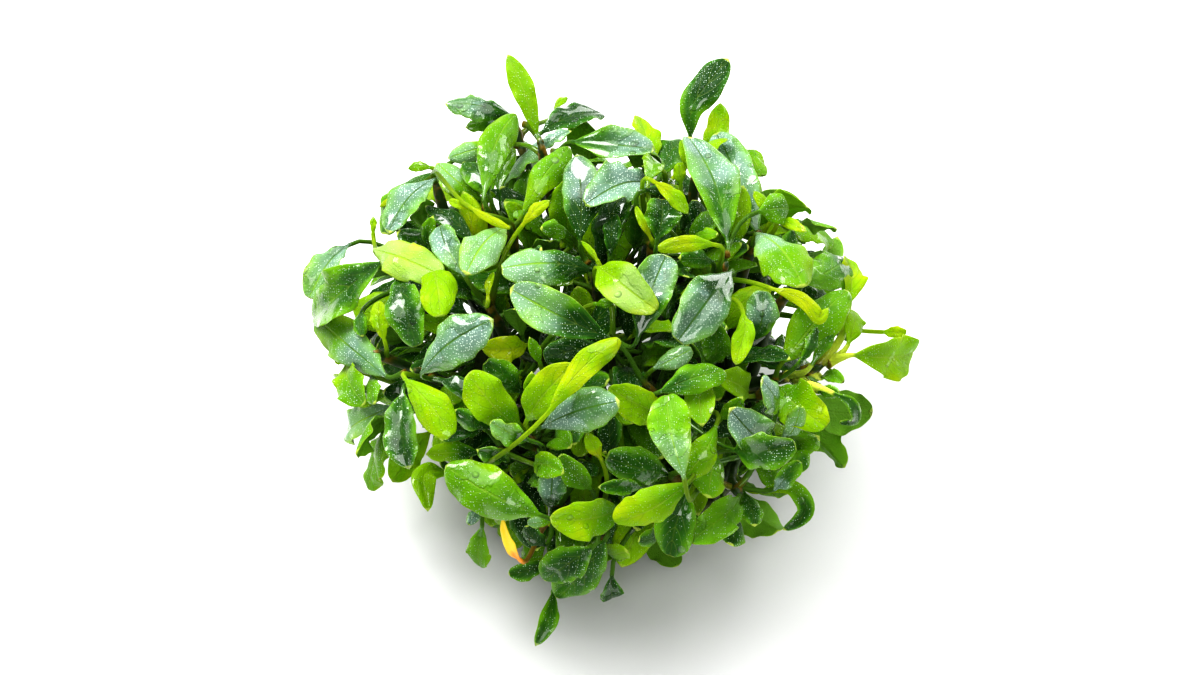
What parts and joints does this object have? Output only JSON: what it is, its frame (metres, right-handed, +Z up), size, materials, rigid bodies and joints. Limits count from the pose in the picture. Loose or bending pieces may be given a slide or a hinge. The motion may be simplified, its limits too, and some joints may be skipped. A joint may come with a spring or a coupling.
{
  "type": "bucephalandra clump",
  "caption": "Free-standing dome of a small aquarium plant: wavy oval leaves on short shoots from creeping rhizomes over a flat root mat.",
  "frame": {"origin": "middle of the root mat's flat underside, on the surface that the clump rests on", "axes": "+Z up, -Y towards the side that the picture shows, +X to the picture's right"},
  "size_m": [0.122, 0.1118, 0.0762],
  "materials": {
    "green_leaf": "wet satin leaf, mid green, with pale margins and fine veins",
    "lime_leaf": "wet satin young leaf, yellow-lime, letting light through",
    "dark_leaf": "wet glossy old leaf, dark green, with fine pale speckle",
    "silver_leaf": "velvety leaf with a slate to silver sheen over green",
    "dying_leaf": "withering leaf, orange-yellow",
    "rhizome": "ringed green-brown creeping stem",
    "roots": "matted brown roots"
  },
  "bodies": {
    "root": {"leaf_bright_left": "lime_leaf", "leaf_drooping_pale": "silver_leaf", "leaf_dying": "dying_leaf", "leaf_frosted_large": "green_leaf", "leaf_lime_centre": "lime_leaf", "leaf_lime_lower": "lime_leaf", "leaf_long_front": "green_leaf", "leaf_outer_right": "lime_leaf", "leaf_palest_lime": "lime_leaf", "leaf_silver_front": "silver_leaf", "leaf_silver_top": "silver_leaf", "leaf_slate": "silver_leaf", "leaf_speckled_right": "green_leaf", "leaf_split_tone": "green_leaf", "leaf_square_pale": "green_leaf", "leaf_standing_pale": "silver_leaf", "leaf_tall_dark": "dark_leaf", "leaf_tall_lime": "lime_leaf", "leaf_top_pale": "silver_leaf", "leaf_two_tone": "silver_leaf", "leaf_upright_bright": "lime_leaf", "leaf_wavy_dark": "dark_leaf", "leaf_wet_outer": "dark_leaf", "leaf_wet_patched": "dark_leaf", "rhizome_across": "rhizome", "rhizome_front": "rhizome", "rhizome_left": "rhizome", "rhizome_right": "rhizome", "root_mat": "roots", "shoot_back_1": "green_leaf", "shoot_back_2": "green_leaf", "shoot_back_3": "green_leaf", "shoot_back_4": "green_leaf", "shoot_back_5": "green_leaf", "shoot_back_6": "green_leaf", "shoot_back_7": "green_leaf", "shoot_back_8": "green_leaf", "shoot_brown_crown": "green_leaf", "shoot_centre": "green_leaf", "shoot_centre_left": "green_leaf", "shoot_front": "green_leaf", "shoot_front_left": "green_leaf", "shoot_front_low": "green_leaf", "shoot_front_middle": "green_leaf", "shoot_front_right": "green_leaf", "shoot_left": "green_leaf", "shoot_left_shoulder": "green_leaf", "shoot_lower_left": "green_leaf", "shoot_lower_right": "green_leaf", "shoot_middle_right": "green_leaf", "shoot_pale_petioles": "green_leaf", "shoot_right": "green_leaf", "shoot_right_low": "green_leaf", "shoot_right_shoulder": "green_leaf", "shoot_tall": "green_leaf", "shoot_top": "green_leaf", "shoot_top_right": "green_leaf", "shoot_upper_left": "green_leaf"}
  },
  "joints": []
}
